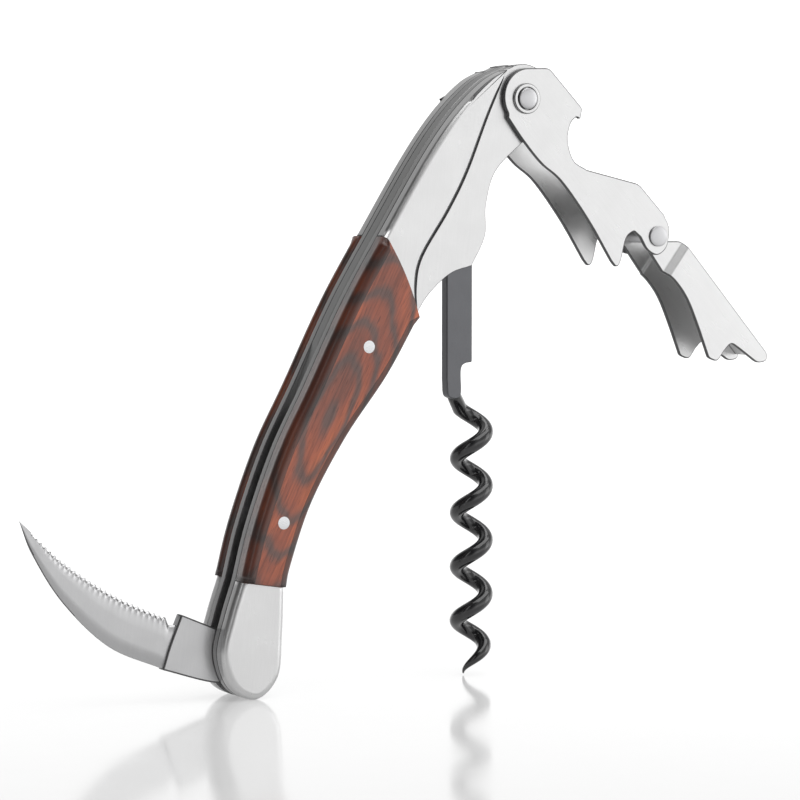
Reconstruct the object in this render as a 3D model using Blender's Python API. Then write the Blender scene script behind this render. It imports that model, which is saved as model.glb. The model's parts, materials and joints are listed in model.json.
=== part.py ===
"""Waiter's corkscrew with a two-step lever, a folding worm and a folding foil knife.

Frame: metres, +Z up. The open corkscrew stands as it would on a table: the lower end of
the handle and the point of the worm touch z = 0. +X runs from the knife's point to the
lever's toe, and the flat pieces lie parallel to the XZ plane, symmetric about y = 0.
All outlines are in millimetres, x measured from the worm's point; X_SHIFT centres them.
Every hinge turns about Y. A moving piece's parent empty lies on its hinge's axis.
"""
import bpy
import bmesh
import math
from mathutils import Vector

# ---------------------------------------------------------------- driving dimensions (mm)
MM = 0.001
X_SHIFT = 10.7              # from the worm's point to the middle of the whole length
SAME_POINT = 0.05           # outline points closer than this are one

HEAD_PIN = (9.0, 97.5)      # lever to handle
LEVER_PIN = (36.0, 74.2)    # second lever step to the first
WORM_PIN = (-1.7, 72.0)     # worm to handle
BLADE_PIN = (-41.5, 6.7)    # knife to handle
SCALE_PINS = {"scale_pin_upper": (-22.1, 56.7), "scale_pin_lower": (-37.9, 28.7)}
SPRING_PIN = (-14.5, 70.0)  # hidden under the upper bolsters

SLOT_HALF = 1.10            # half the gap between the two liners
LINER_OUT = 2.50            # liners reach from SLOT_HALF to here
SKIN_IN = 2.55              # scales and bolsters start here
HEAD_OUT = 3.80             # flat head of the upper bolster, inside the lever
BOLSTER_OUT = 5.00
SCALE_OUT = 6.20
SCALE_CROWN = 1.5           # rounding of the scales' and lower bolsters' rims
BOLSTER_CROWN = 1.1
LEVER_IN = 3.90             # lever sheet, inner and outer faces
LEVER_OUT = 4.70
TAB_IN = 3.00               # joggled tabs of the second step, inside the first
TAB_OUT = 3.80
WEB = 0.80                  # thickness of the lever's bent-over webs
SPRING_HALF = 1.05
TANG_HALF = 0.95            # worm shank and knife tang
BLADE_HALF = 0.50

FIT = 0.06                  # radial clearance of a pin in its hole
HEAD_PIN_R = 1.75
LEVER_PIN_R = 1.20
LEVER_PIN_HEAD_R = 1.75
INNER_PIN_R = 1.50          # worm, knife and spring pins
SCALE_PIN_R = 1.45
WASHER_R = 2.55
WASHER_FROM = 4.75          # washers lie on the lever's cheeks from here out
WASHER_TO = 5.15
HEAD_PIN_DOME = [(0.0, 5.62), (1.1, 5.52), (HEAD_PIN_R, 5.20)]      # (radius, |y|)
LEVER_PIN_HEAD = [(0.0, 5.15), (1.0, 5.08), (LEVER_PIN_HEAD_R, 4.92), (LEVER_PIN_HEAD_R, 4.75),
                  (LEVER_PIN_R, 4.75)]
RIVET_SINK = 0.02           # scale rivets end this far below the wood

WORM_AXIS_X = 1.2
WORM_PITCH = 9.2
WORM_COIL_R = 2.4           # to the middle of the wire
WORM_WIRE_R = 1.28
WORM_PHASE = 154.0          # direction of the point, degrees about Z
WORM_TOP = 45.0             # height where the coil leaves for the neck
WORM_STEPS = 18             # points on each turn
NECK_SHARE = 0.8            # neck's radius over the wire's

# ---------------------------------------------------------------- outlines (mm, x and z)
SPINE = [(-44.9, 19.4), (-42.4, 28.4), (-37.8, 40.2), (-32.3, 50.5), (-25.1, 64.2),
         (-17.6, 76.2), (-9.9, 88.0), (-4.2, 95.2), (1.6, 100.4), (7.0, 102.9)]
HEAD_R = 5.8
HEAD_BELLY = [(13.1, 93.4), (8.9, 90.2), (3.6, 85.4), (1.7, 79.8), (1.5, 74.6), (-1.1, 69.6)]
RELIEF = [(-1.1, 69.6), (-5.3, 68.3), (-9.4, 65.0), (-12.3, 61.0)]
BELLY = [(-12.3, 61.0), (-18.1, 51.8), (-25.8, 42.0), (-32.2, 31.6), (-36.0, 21.8), (-36.9, 18.0)]
BUTT = [(-36.9, 18.0), (-37.2, 10.2), (-38.0, 3.4), (-41.9, 0.0), (-46.4, 2.1),
        (-48.3, 7.6), (-46.9, 13.6), (-44.9, 19.4)]
STEP_LINE = [(5.0, 102.2), (1.2, 94.6), (-2.9, 85.2), (-6.6, 78.7), (-11.6, 71.2),
             (-12.7, 66.2), (-12.3, 61.0)]
BOLSTER_JOINT = [(-18.6, 74.7), (-15.9, 70.0), (-13.9, 65.6), (-12.3, 61.0)]
JOINT_GAP = 0.08            # between the wood and the bolsters

SPRING_INNER = [(4.2, 94.0), (0.2, 89.4), (-4.6, 82.6), (-7.2, 76.4), (-8.8, 70.2),
                (-11.0, 65.0), (-13.6, 60.4), (-18.9, 51.8), (-26.5, 42.0), (-33.0, 31.5),
                (-36.5, 21.8), (-37.2, 17.0), (-37.4, 12.2)]
SPRING_POCKET = [(-39.1, 12.4), (-38.7, 16.0), (-38.0, 20.5), (-36.9, 24.5), (-36.0, 28.5),
                 (-34.6, 34.0), (-33.6, 41.0), (-32.0, 49.0), (-29.3, 55.8)]
SPRING_LOW = 57.4           # the spring fills the spine between these heights
SPRING_HIGH = 102.95
SPRING_NOSE_R = HEAD_R - 0.3

# lever outlines are measured from their own pins
UPPER_END = (0.6, 0.2)
UPPER_END_R = 4.9
UPPER_LOW = [(-3.7, -3.0), (-0.6, -6.9), (3.1, -10.8), (7.2, -13.9), (12.6, -20.4), (17.4, -27.5)]
UPPER_FOOT = [(18.4, -28.4), (19.3, -27.5), (20.4, -23.6), (22.0, -22.3)]
UPPER_BOSS = [(23.4, -23.4), (24.9, -25.6), (27.0, -26.5), (28.9, -25.1), (29.4, -22.0),
              (28.3, -19.6)]
UPPER_TOP = [(23.0, -14.3), (12.3, -11.9)]
OPENER = [(12.3, -11.9), (9.6, -10.3), (8.4, -7.0), (8.9, -4.2), (10.1, -2.9)]
HOOK = [(10.9, -3.4), (11.3, -1.5)]
WEB_A = [(4.6, 5.2), (11.3, -1.5)]
WEB_B = [(23.0, -14.3), (28.3, -19.6)]
PAST_WEB = 3.0              # the hollow leaves a web's end at 45 degrees for this far in x and z
UPPER_HOLLOW_TOP = [(-10.0, 12.0)]          # corners of the hollow well outside the sheet
UPPER_HOLLOW_GAP = [(26.0, -8.0)]
UPPER_HOLLOW_FOOT = [(36.0, -22.0), (32.0, -36.0), (8.0, -36.0), (-10.0, -12.0)]

TAB_R = 2.6
JOGGLE = [(5.6, -0.9), (3.6, -3.5), (1.6, -6.1)]
JOGGLE_BAND = 1.6
LOWER_HOLLOW_TOP = [(-8.0, 8.0), (4.1, 7.1)]        # corners of the hollow outside the sheet
LOWER_HOLLOW_TOE = [(29.2, -27.5), (12.0, -34.0)]
LOWER_HOLLOW_PIN = [(-8.0, -12.0)]
LOWER_HOLLOW_REACH = 8.0
LOWER_BACK = [(5.6, -0.9), (23.8, -21.0)]
LOWER_TOE = [(23.8, -21.0), (23.6, -22.3), (21.6, -22.6), (17.6, -19.9), (15.8, -18.8),
             (14.3, -20.2), (12.9, -22.1), (11.0, -21.4)]
LOWER_INNER = [(11.0, -21.4), (8.5, -15.4), (6.3, -10.9), (3.9, -7.9), (1.6, -6.1)]

BLADE_BACK = [(-57.1, 5.6), (-66.1, 9.9), (-73.9, 17.4), (-78.9, 25.2), (-81.2, 30.8)]
BLADE_EDGE = [(-81.2, 30.8), (-73.8, 24.0), (-65.2, 18.2), (-56.2, 13.9)]
BLADE_NOTCH = [(-55.7, 12.6), (-54.9, 12.6)]
TANG_STEP = [(-53.7, 14.3), (-55.8, 9.4), (-57.1, 5.6)]
TANG_TOP = [(-53.7, 14.3), (-48.9, 12.2), (-44.5, 10.2)]
TANG_R = 4.6
TANG_LOW = [(-43.5, 2.6), (-48.5, 2.9), (-57.1, 5.6)]

SHANK_HALF_WIDTH = 2.48
SHANK_FOOT = [(-4.18, 50.5), (-3.8, 47.6), (-1.5, 47.6), (-1.4, 51.8), (-0.8, 53.0), (0.78, 53.3)]
NECK = [(-2.45, 0.15, 48.4), (-2.6, 0.0, 50.6), (-2.5, 0.0, 53.0)]


# ---------------------------------------------------------------- curves and lists of points
def smooth(points, steps=3):
    """A Catmull-Rom curve through the points, each span cut into equal steps."""
    ends = [tuple(2 * a - b for a, b in zip(points[0], points[1]))]
    ends += list(points)
    ends.append(tuple(2 * a - b for a, b in zip(points[-1], points[-2])))
    curve = []
    for i in range(1, len(ends) - 2):
        p0, p1, p2, p3 = (Vector(p) for p in ends[i - 1:i + 3])
        for k in range(steps):
            t = k / steps
            q = (p1 * 2 + (p2 - p0) * t + (p0 * 2 - p1 * 5 + p2 * 4 - p3) * t ** 2
                 + (p1 * 3 - p0 - p2 * 3 + p3) * t ** 3) * 0.5
            curve.append(tuple(q))
    curve.append(tuple(points[-1]))
    return curve


def arc(centre, radius, start, end, count):
    """Points on an arc, angles in degrees from +X towards +Z."""
    angles = [math.radians(start + (end - start) * k / count) for k in range(count + 1)]
    return [(centre[0] + radius * math.cos(a), centre[1] + radius * math.sin(a)) for a in angles]


def joined(*runs):
    """One closed outline from several runs, each shared end point kept once."""
    outline = []
    for run in runs:
        for point in run:
            if not outline or math.dist(point, outline[-1]) > SAME_POINT:
                outline.append(point)
    if math.dist(outline[0], outline[-1]) < SAME_POINT:
        outline.pop()
    return outline


def shifted(points, by):
    return [(x + by[0], z + by[1]) for x, z in points]


def offset_segment(segment, distance):
    """The segment moved sideways, towards its left when distance is positive."""
    a, b = (Vector(p) for p in segment)
    side = Vector((a.y - b.y, b.x - a.x)).normalized() * distance
    return [tuple(a + side), tuple(b + side)]


def part_of(curve, low, high):
    """The run of a curve whose heights lie between two limits, cut exactly there."""
    run = []
    for a, b in zip(curve, curve[1:]):
        for t in sorted((low, high), key=lambda h: abs(h - a[1])):
            if min(a[1], b[1]) < t < max(a[1], b[1]):
                k = (t - a[1]) / (b[1] - a[1])
                run.append((a[0] + (b[0] - a[0]) * k, t))
        if low <= b[1] <= high:
            run.append(b)
    if low <= curve[0][1] <= high:
        run.insert(0, curve[0])
    return run


# ---------------------------------------------------------------- objects and materials
def clear_scene():
    for item in list(bpy.data.objects):
        bpy.data.objects.remove(item, do_unlink=True)


def material(name, colour, metallic, roughness):
    mat = bpy.data.materials.get(name)
    if mat is None:
        mat = bpy.data.materials.new(name)
        mat.use_nodes = True
        shader = mat.node_tree.nodes["Principled BSDF"]
        shader.inputs["Base Color"].default_value = (*colour, 1.0)
        shader.inputs["Metallic"].default_value = metallic
        shader.inputs["Roughness"].default_value = roughness
    return mat


def satin_steel():
    return material("satin_steel", (0.66, 0.66, 0.65), 1.0, 0.32)


def spring_steel():
    return material("spring_steel", (0.30, 0.30, 0.31), 1.0, 0.38)


def pakkawood():
    return material("pakkawood", (0.24, 0.055, 0.025), 0.0, 0.35)


def black_coating():
    return material("black_coating", (0.012, 0.012, 0.013), 0.0, 0.22)


def rivet_metal():
    return material("rivet_metal", (0.80, 0.80, 0.79), 1.0, 0.18)


def pivot_empty(name, pin, parent):
    """An empty on a hinge's axis, its local axes parallel to the frame's."""
    empty = bpy.data.objects.new(name, None)
    bpy.context.collection.objects.link(empty)
    x = pin[0] + X_SHIFT
    z = pin[1]
    empty.location = (x * MM, 0.0, z * MM)
    if parent is not None:
        empty.parent = parent
        empty.location = (Vector(empty.location) - parent.matrix_world.translation)
    bpy.context.view_layer.update()
    return empty


def new_object(name, bm, mat, parent, angle=35.0):
    """Turns a bmesh in millimetres, measured from the worm's point, into a child of its pivot."""
    centre = parent.matrix_world.translation
    bmesh.ops.scale(bm, vec=(MM, MM, MM), verts=bm.verts)
    bmesh.ops.translate(bm, vec=Vector((X_SHIFT * MM, 0.0, 0.0)) - centre, verts=bm.verts)
    bmesh.ops.recalc_face_normals(bm, faces=bm.faces)
    mesh = bpy.data.meshes.new(name)
    bm.to_mesh(mesh)
    bm.free()
    mesh.shade_smooth()
    mesh.set_sharp_from_angle(angle=math.radians(angle))
    mesh.materials.append(mat)
    item = bpy.data.objects.new(name, mesh)
    bpy.context.collection.objects.link(item)
    item.parent = parent
    return item


# ---------------------------------------------------------------- solids
def add_region(flat, marks, number, outline, holes):
    """Fills an outline, less its round holes (centre, radius, sides), in the XZ plane."""
    edges = []
    for loop in [outline] + [arc(c, r, 0, 360 - 360 / n, n - 1) for c, r, n in holes]:
        verts = [flat.verts.new((x, 0.0, z)) for x, z in loop]
        edges += [flat.edges.new((verts[k - 1], verts[k])) for k in range(len(verts))]
    filled = bmesh.ops.triangle_fill(flat, use_beauty=True, use_dissolve=False, edges=edges)
    for face in filled["geom"]:
        if isinstance(face, bmesh.types.BMFace):
            face[marks] = number


def layered(*regions):
    """One solid from regions (outline, holes, y_from, y_to) that lie side by side."""
    flat = bmesh.new()
    marks = flat.faces.layers.int.new("region")
    for number, (outline, holes, _, _) in enumerate(regions):
        add_region(flat, marks, number, outline, holes)
    bmesh.ops.remove_doubles(flat, verts=flat.verts, dist=1e-3)
    flat.verts.index_update()
    spans = [tuple(sorted(region[2:])) for region in regions]
    bm = bmesh.new()
    made = {}

    def corner(vert, y):
        key = (vert.index, round(y, 4))
        if key not in made:
            made[key] = bm.verts.new((vert.co.x, y, vert.co.z))
        return made[key]

    def column(vert, low, high):
        levels = {y for face in vert.link_faces for y in spans[face[marks]]}
        return [corner(vert, y) for y in sorted(levels) if low <= y <= high]

    for face in flat.faces:
        for y in spans[face[marks]]:
            bm.faces.new([corner(v, y) for v in face.verts])
    for edge in flat.edges:
        a, b = edge.verts
        sides = [spans[face[marks]] for face in edge.link_faces]
        if len(sides) == 1:
            walls = sides
        else:
            walls = [tuple(sorted(ends)) for ends in zip(*sides) if ends[0] != ends[1]]
        for low, high in walls:
            bm.faces.new(column(a, low, high) + column(b, low, high)[::-1])
    flat.free()
    bmesh.ops.recalc_face_normals(bm, faces=bm.faces)
    return bm


def prism(outline, inner, outer, holes=()):
    """A plate between y = inner and y = outer."""
    return layered((outline, holes, inner, outer))


def round_rim(bm, y, radius, pins=(), segments=2):
    """Rounds the outer rim of the flat face at one y, but not the mouths of the pins' holes."""
    rim = [e for e in bm.edges
           if all(abs(v.co.y - y) < 1e-4 for v in e.verts) and e.calc_face_angle(0.0) > 0.5
           and all(math.dist((v.co.x, v.co.z), p) > 2.0 for v in e.verts for p in pins)]
    bmesh.ops.bevel(bm, geom=rim, offset=radius, offset_type="OFFSET", segments=segments,
                    profile=0.5, affect="EDGES", clamp_overlap=True)


def turned(pin, profile, sides=24):
    """A solid turned about a pin's axis; profile is (radius, y) from one end to the other."""
    bm = bmesh.new()
    rings = []
    for radius, y in profile:
        if radius == 0.0:
            rings.append([bm.verts.new((pin[0], y, pin[1]))])
        else:
            rings.append([bm.verts.new((x, y, z))
                          for x, z in arc(pin, radius, 0, 360 - 360 / sides, sides - 1)])
    for a, b in zip(rings, rings[1:]):
        for k in range(sides):
            corners = [a[k % len(a)], a[(k + 1) % sides % len(a)],
                       b[(k + 1) % sides % len(b)], b[k % len(b)]]
            unique = [v for n, v in enumerate(corners) if v not in corners[:n]]
            if len(unique) > 2:
                bm.faces.new(unique)
    return bm


def both_ends(half):
    """The profile of a pin that is the same at both ends, from one half of it."""
    return [(r, -y) for r, y in half] + half[::-1]


def ring(pin, r_in, r_out, y_in, y_out, sides=24):
    bm = turned(pin, [(r_in, y_in), (r_out, y_in), (r_out, y_out), (r_in, y_out), (r_in, y_in)],
                sides)
    bmesh.ops.remove_doubles(bm, verts=bm.verts, dist=1e-5)
    return bm


def tube(path, radii, sides=8):
    """A closed tube along a path of 3-D points, with a radius for each."""
    bm = bmesh.new()
    points = [Vector(p) for p in path]
    rings = []
    side = Vector((0.0, 1.0, 0.0))
    for k, point in enumerate(points):
        along = (points[min(k + 1, len(points) - 1)] - points[max(k - 1, 0)]).normalized()
        side = (side - along * side.dot(along)).normalized()
        other = along.cross(side)
        rings.append([bm.verts.new(point + (side * math.cos(a) + other * math.sin(a)) * radii[k])
                      for a in (2 * math.pi * n / sides for n in range(sides))])
    for a, b in zip(rings, rings[1:]):
        for k in range(sides):
            bm.faces.new((a[k - 1], a[k], b[k], b[k - 1]))
    bm.faces.new(rings[0])
    bm.faces.new(rings[-1])
    return bm


def boolean(item, other, operation):
    modifier = item.modifiers.new(other.name, "BOOLEAN")
    modifier.operation = operation
    modifier.solver = "EXACT"
    modifier.object = other
    other.hide_render = True
    other.display_type = "WIRE"


# ---------------------------------------------------------------- shared outlines
def spine():
    return smooth(SPINE)


def butt():
    return smooth(BUTT)


def belly():
    return smooth(BELLY)


def head_front():
    return arc(HEAD_PIN, HEAD_R, 110, -45, 14) + smooth(HEAD_BELLY)


def liner_outline():
    return joined(spine(), head_front(), smooth(RELIEF), belly(), butt())


# ---------------------------------------------------------------- handle
def build_liners(root):
    holes = [(HEAD_PIN, HEAD_PIN_R + FIT, 24), (WORM_PIN, INNER_PIN_R + FIT, 20),
             (BLADE_PIN, INNER_PIN_R + FIT, 20), (SPRING_PIN, INNER_PIN_R + FIT, 20)]
    holes += [(pin, SCALE_PIN_R + FIT, 20) for pin in SCALE_PINS.values()]
    for name, side in (("liner_front", -1), ("liner_back", 1)):
        bm = prism(liner_outline(), side * SLOT_HALF, side * LINER_OUT, holes)
        new_object(name, bm, satin_steel(), root)


def build_spring(root):
    """Fills the slot at the spine; its arms press on the worm's shank and the knife's tang."""
    back = part_of(spine(), SPRING_LOW, SPRING_HIGH)
    outline = joined(back, arc(HEAD_PIN, SPRING_NOSE_R, 100, -120, 14), smooth(SPRING_INNER),
                     smooth(SPRING_POCKET))
    holes = [(HEAD_PIN, HEAD_PIN_R + FIT, 24), (SPRING_PIN, INNER_PIN_R + FIT, 20),
             (SCALE_PINS["scale_pin_upper"], SCALE_PIN_R + FIT, 20)]
    new_object("back_spring", prism(outline, -SPRING_HALF, SPRING_HALF, holes),
               spring_steel(), root)


def build_scales(root):
    """Two wood scales between the bolsters, crowned towards a flat land."""
    upper = [(x - JOINT_GAP, z - JOINT_GAP) for x, z in smooth(BOLSTER_JOINT)]
    low_left = SPINE[0]
    low_right = BELLY[-1]
    back = [p for p in spine() if low_left[1] < p[1] < upper[0][1]]
    front = [p for p in belly() if low_right[1] + 0.3 < p[1] < upper[-1][1]]
    outline = joined([(low_left[0], low_left[1] + JOINT_GAP)], back, upper, front,
                     [(low_right[0], low_right[1] + JOINT_GAP)])
    holes = [(pin, SCALE_PIN_R + FIT, 20) for pin in SCALE_PINS.values()]
    for name, side in (("scale_front", -1), ("scale_back", 1)):
        bm = prism(outline, side * SKIN_IN, side * SCALE_OUT, holes)
        round_rim(bm, side * SCALE_OUT, SCALE_CROWN, SCALE_PINS.values())
        new_object(name, bm, pakkawood(), root)


def build_upper_bolsters(root):
    """A raised shoulder next to the wood and a flat head that the lever straddles."""
    line = smooth(STEP_LINE)
    back = [p for p in spine() if BOLSTER_JOINT[0][1] < p[1] < STEP_LINE[0][1]]
    raised = joined(smooth(BOLSTER_JOINT)[::-1], back, line)
    crest = [p for p in spine() if p[1] > STEP_LINE[0][1]]
    flat = joined(line[::-1], crest, head_front(), smooth(RELIEF))
    holes = [(HEAD_PIN, HEAD_PIN_R + FIT, 24)]
    for name, side in (("upper_bolster_front", -1), ("upper_bolster_back", 1)):
        bm = layered((flat, holes, side * SKIN_IN, side * HEAD_OUT),
                     (raised, [], side * SKIN_IN, side * BOLSTER_OUT))
        new_object(name, bm, satin_steel(), root)


def build_lower_bolsters(root):
    for name, side in (("lower_bolster_front", -1), ("lower_bolster_back", 1)):
        bm = prism(joined(butt()), side * SKIN_IN, side * BOLSTER_OUT)
        round_rim(bm, side * BOLSTER_OUT, BOLSTER_CROWN)
        new_object(name, bm, satin_steel(), root)


def build_handle_pins(root):
    for name, pin in SCALE_PINS.items():
        rivet = turned(pin, both_ends([(0.0, SCALE_OUT - RIVET_SINK),
                                       (SCALE_PIN_R, SCALE_OUT - RIVET_SINK)]), 20)
        new_object(name, rivet, rivet_metal(), root)
    hidden = {"worm_pivot_pin": WORM_PIN, "blade_pivot_pin": BLADE_PIN, "spring_pin": SPRING_PIN}
    for name, pin in hidden.items():
        rivet = turned(pin, both_ends([(0.0, LINER_OUT), (INNER_PIN_R, LINER_OUT)]), 20)
        new_object(name, rivet, rivet_metal(), root)
    new_object("lever_head_pin", turned(HEAD_PIN, both_ends(HEAD_PIN_DOME)), rivet_metal(), root)
    for name, side in (("head_pin_washer_front", -1), ("head_pin_washer_back", 1)):
        bm = ring(HEAD_PIN, HEAD_PIN_R + FIT, WASHER_R, side * WASHER_FROM, side * WASHER_TO)
        new_object(name, bm, satin_steel(), root)


# ---------------------------------------------------------------- lever
def round_web(web):
    """The hollow's way round a web: in from outside, along its inner face, and out again."""
    return shifted(web[:1], (PAST_WEB, PAST_WEB)) + web + shifted(web[1:], (PAST_WEB, PAST_WEB))


def build_lever_upper(pivot):
    """First step: one folded sheet, two cheeks joined by two webs, with a crown-cap opener."""
    outline = joined(arc(UPPER_END, UPPER_END_R, 92, 215, 12), smooth(UPPER_LOW),
                     UPPER_FOOT, smooth(UPPER_BOSS), UPPER_TOP, smooth(OPENER), HOOK,
                     [WEB_A[1], WEB_A[0]])
    holes = [(HEAD_PIN, HEAD_PIN_R + FIT, 24), (LEVER_PIN, LEVER_PIN_R + FIT, 20)]
    bm = prism(shifted(outline, HEAD_PIN), -LEVER_OUT, LEVER_OUT, holes)
    lever = new_object("lever_upper", bm, satin_steel(), pivot)
    web_a = offset_segment(WEB_A, -WEB)
    web_b = offset_segment(WEB_B, -WEB)
    hollow = (UPPER_HOLLOW_TOP + round_web(web_a) + UPPER_HOLLOW_GAP + round_web(web_b)
              + UPPER_HOLLOW_FOOT)
    bm = prism(shifted(hollow, HEAD_PIN), -LEVER_IN, LEVER_IN)
    boolean(lever, new_object("lever_upper_hollow", bm, satin_steel(), pivot), "DIFFERENCE")


def build_lever_lower(pivot):
    """Second step: tabs inside the first step's cheeks, then flush cheeks and a toothed toe."""
    outer = joined(LOWER_BACK, LOWER_TOE, smooth(LOWER_INNER), JOGGLE[::-1])
    tab = joined(JOGGLE, arc((0.0, 0.0), TAB_R, 235, -20, 14))
    holes = [(LEVER_PIN, LEVER_PIN_R + FIT, 20)]
    bm = layered((shifted(tab, LEVER_PIN), holes, -TAB_OUT, TAB_OUT),
                 (shifted(outer, LEVER_PIN), [], -LEVER_OUT, LEVER_OUT))
    lever = new_object("lever_lower", bm, satin_steel(), pivot)
    web = offset_segment(LOWER_BACK, -WEB)
    hollow = LOWER_HOLLOW_TOP + web + LOWER_HOLLOW_TOE + LOWER_HOLLOW_PIN
    bm = prism(shifted(hollow, LEVER_PIN), -TAB_IN, TAB_IN)
    boolean(lever, new_object("lever_lower_hollow", bm, satin_steel(), pivot), "DIFFERENCE")
    band = [Vector(p) for p in offset_segment((JOGGLE[0], JOGGLE[-1]), JOGGLE_BAND)]
    past_band = band[1] + (band[1] - band[0]).normalized() * LOWER_HOLLOW_REACH
    back = (Vector(web[1]) - Vector(web[0])).normalized()
    start = Vector(web[0]) + back * JOGGLE_BAND
    wide = [tuple(start), web[1]] + LOWER_HOLLOW_TOE + [tuple(past_band)]
    bm = prism(shifted(wide, LEVER_PIN), -LEVER_IN, LEVER_IN)
    boolean(lever, new_object("lever_lower_wide_hollow", bm, satin_steel(), pivot), "DIFFERENCE")


def build_lever_pin(pivot):
    bm = turned(LEVER_PIN, both_ends(LEVER_PIN_HEAD), 20)
    new_object("lever_joint_pin", bm, rivet_metal(), pivot)


# ---------------------------------------------------------------- worm and knife
def worm_path():
    """The coil from its point upwards, then the neck into the shank."""
    points = []
    radii = []
    count = round(WORM_TOP / WORM_PITCH * WORM_STEPS)
    for k in range(count + 1):
        turn = k / WORM_STEPS
        angle = math.radians(WORM_PHASE) + 2 * math.pi * turn
        grown = min(1.0, 0.2 + turn / 0.55)
        coil = WORM_COIL_R * min(1.0, 0.55 + turn * 0.7)
        points.append((WORM_AXIS_X + coil * math.cos(angle), coil * math.sin(angle),
                       WORM_WIRE_R * 0.2 + WORM_PITCH * turn))
        radii.append(WORM_WIRE_R * grown)
    points += smooth([points[-1]] + NECK)[1:]
    radii += [WORM_WIRE_R * NECK_SHARE] * (len(points) - len(radii))
    return points, radii


def build_worm(pivot):
    left = WORM_PIN[0] - SHANK_HALF_WIDTH
    top = arc(WORM_PIN, SHANK_HALF_WIDTH, 0, 180, 10)
    outline = joined(top, [(left, 60.0)], SHANK_FOOT)
    holes = [(WORM_PIN, INNER_PIN_R + FIT, 20)]
    worm = new_object("worm", prism(outline, -TANG_HALF, TANG_HALF, holes), black_coating(), pivot)
    points, radii = worm_path()
    screw = new_object("worm_coil", tube(points, radii), black_coating(), pivot)
    boolean(worm, screw, "UNION")


def build_blade(pivot):
    """A curved knife, thin beyond a thicker tang block that turns in the slot."""
    edge = smooth(BLADE_EDGE) + BLADE_NOTCH
    step = smooth(TANG_STEP)
    thin = joined(smooth(BLADE_BACK), edge, step)
    tang = joined(step[::-1], TANG_TOP, arc(BLADE_PIN, TANG_R, 130, -110, 16), TANG_LOW)
    holes = [(BLADE_PIN, INNER_PIN_R + FIT, 20)]
    bm = layered((thin, [], -BLADE_HALF, BLADE_HALF), (tang, holes, -TANG_HALF, TANG_HALF))
    new_object("blade", bm, satin_steel(), pivot)


def main():
    clear_scene()
    root = pivot_empty("handle_frame", (-X_SHIFT, 0.0), None)
    build_liners(root)
    build_spring(root)
    build_scales(root)
    build_upper_bolsters(root)
    build_lower_bolsters(root)
    build_handle_pins(root)
    lever_pivot = pivot_empty("lever_upper_pivot", HEAD_PIN, root)
    build_lever_upper(lever_pivot)
    build_lever_pin(lever_pivot)
    build_lever_lower(pivot_empty("lever_lower_pivot", LEVER_PIN, lever_pivot))
    build_worm(pivot_empty("worm_pivot", WORM_PIN, root))
    build_blade(pivot_empty("blade_pivot", BLADE_PIN, root))


main()
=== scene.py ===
"""Looks of a two-step waiter's corkscrew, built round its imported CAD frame.

Outlines are in millimetres, x and z measured from the worm's point on the table, and the
flat pieces lie parallel to the XZ plane, symmetric about y = 0. ORIGIN takes them to the
frame. Every CAD node is replaced by a finer piece that rides on the same body.
"""
import json
import math
import bpy
import bmesh
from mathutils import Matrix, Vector


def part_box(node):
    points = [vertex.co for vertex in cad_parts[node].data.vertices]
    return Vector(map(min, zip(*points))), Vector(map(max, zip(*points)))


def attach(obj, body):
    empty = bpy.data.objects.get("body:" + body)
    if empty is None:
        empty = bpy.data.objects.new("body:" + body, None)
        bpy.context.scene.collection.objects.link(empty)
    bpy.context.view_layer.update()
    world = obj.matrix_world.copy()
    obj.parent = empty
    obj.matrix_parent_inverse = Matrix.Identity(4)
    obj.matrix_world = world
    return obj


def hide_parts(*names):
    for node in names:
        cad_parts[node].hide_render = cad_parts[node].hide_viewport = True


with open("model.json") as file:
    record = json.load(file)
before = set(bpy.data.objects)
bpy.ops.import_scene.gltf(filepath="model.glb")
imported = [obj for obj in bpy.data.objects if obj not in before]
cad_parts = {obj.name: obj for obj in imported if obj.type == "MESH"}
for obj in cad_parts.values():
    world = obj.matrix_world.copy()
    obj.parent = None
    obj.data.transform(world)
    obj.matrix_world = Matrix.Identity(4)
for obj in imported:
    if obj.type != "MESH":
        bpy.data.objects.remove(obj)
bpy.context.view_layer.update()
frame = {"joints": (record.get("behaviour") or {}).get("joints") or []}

# ---------------------------------------------------------------- places and thicknesses (mm)
MM = 0.001
HEAD_PIN = (9.0, 97.5)
JOINTS = {joint["name"]: Vector(joint["pos_m"]) for joint in frame["joints"]}
ORIGIN = JOINTS["lever_hinge"] - Vector((HEAD_PIN[0], 0.0, HEAD_PIN[1])) * MM


def place(point):
    """A point of the frame as x and z in the outlines' millimetres."""
    local = (point - ORIGIN) / MM
    return (local.x, local.z)


def node_centre(node):
    low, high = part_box(node)
    return place((low + high) / 2)


LEVER_PIN = place(JOINTS["lever_step_hinge"])
WORM_PIN = place(JOINTS["worm_hinge"])
BLADE_PIN = place(JOINTS["knife_hinge"])
SCALE_PINS = {name: node_centre(name) for name in ("scale_pin_upper", "scale_pin_lower")}
SPRING_PIN = node_centre("spring_pin")

SLOT_HALF = 1.10            # half the gap between the liners
LINER_OUT = 2.50
SKIN_IN = 2.55              # inner face of scales and bolsters
HEAD_OUT = 3.80
BOLSTER_OUT = 5.00
SCALE_OUT = 6.17            # the rivets stand just proud of the wood
RIVET_OUT = 6.20
LEVER_IN = 3.90
LEVER_OUT = 4.70
TAB_IN = 3.00
TAB_OUT = 3.80
SHEET = 0.80                # thickness of the lever's sheet
SPRING_HALF = 1.05
TANG_HALF = 0.95
BLADE_HALF = 0.50

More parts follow.
